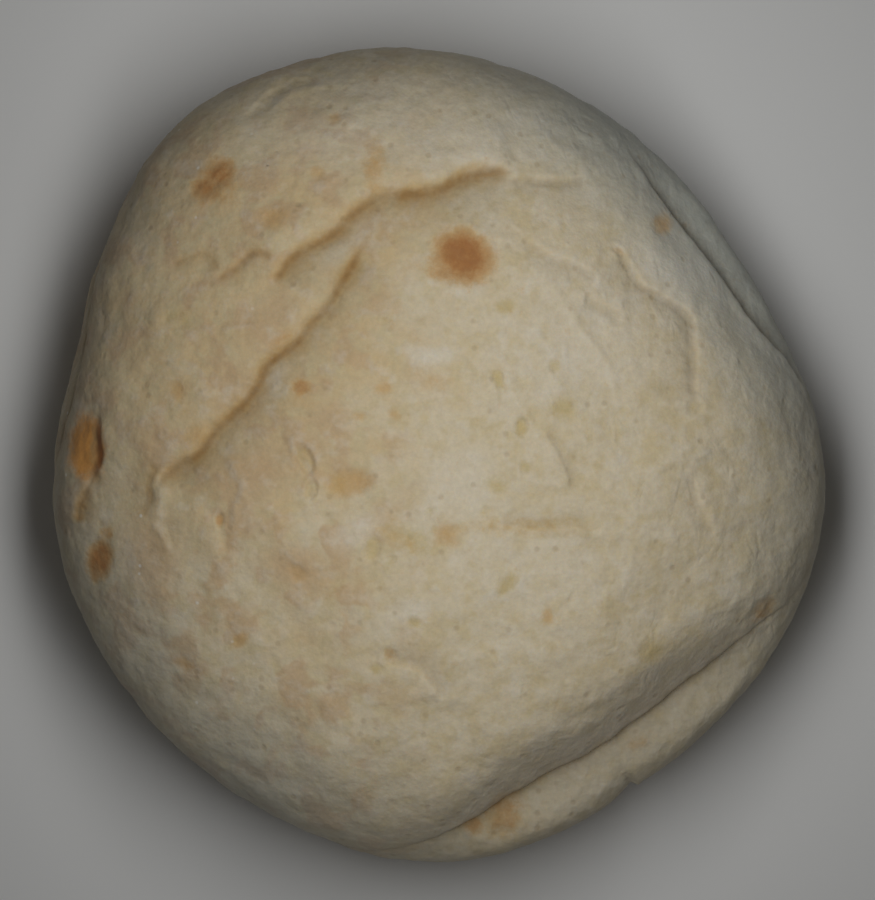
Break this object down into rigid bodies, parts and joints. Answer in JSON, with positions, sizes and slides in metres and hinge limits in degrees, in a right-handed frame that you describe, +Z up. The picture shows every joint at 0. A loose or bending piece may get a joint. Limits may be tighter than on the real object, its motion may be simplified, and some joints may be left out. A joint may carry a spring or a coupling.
{
  "type": "round bread roll",
  "caption": "Soft round bread roll with a pale floury crust, long folds across its top, a seam round its rim and a flat foot to rest on.",
  "frame": {"origin": "middle of the roll's length and width, on the table it rests on", "axes": "+Z up through the crown, +X to the right and +Y away from someone who looks down on the shown side"},
  "size_m": [0.1238, 0.1308, 0.0435],
  "materials": {
    "crust": "matte, floury, pale cream with small golden-brown spots"
  },
  "bodies": {
    "root": {"bread_roll": "crust"}
  },
  "joints": []
}
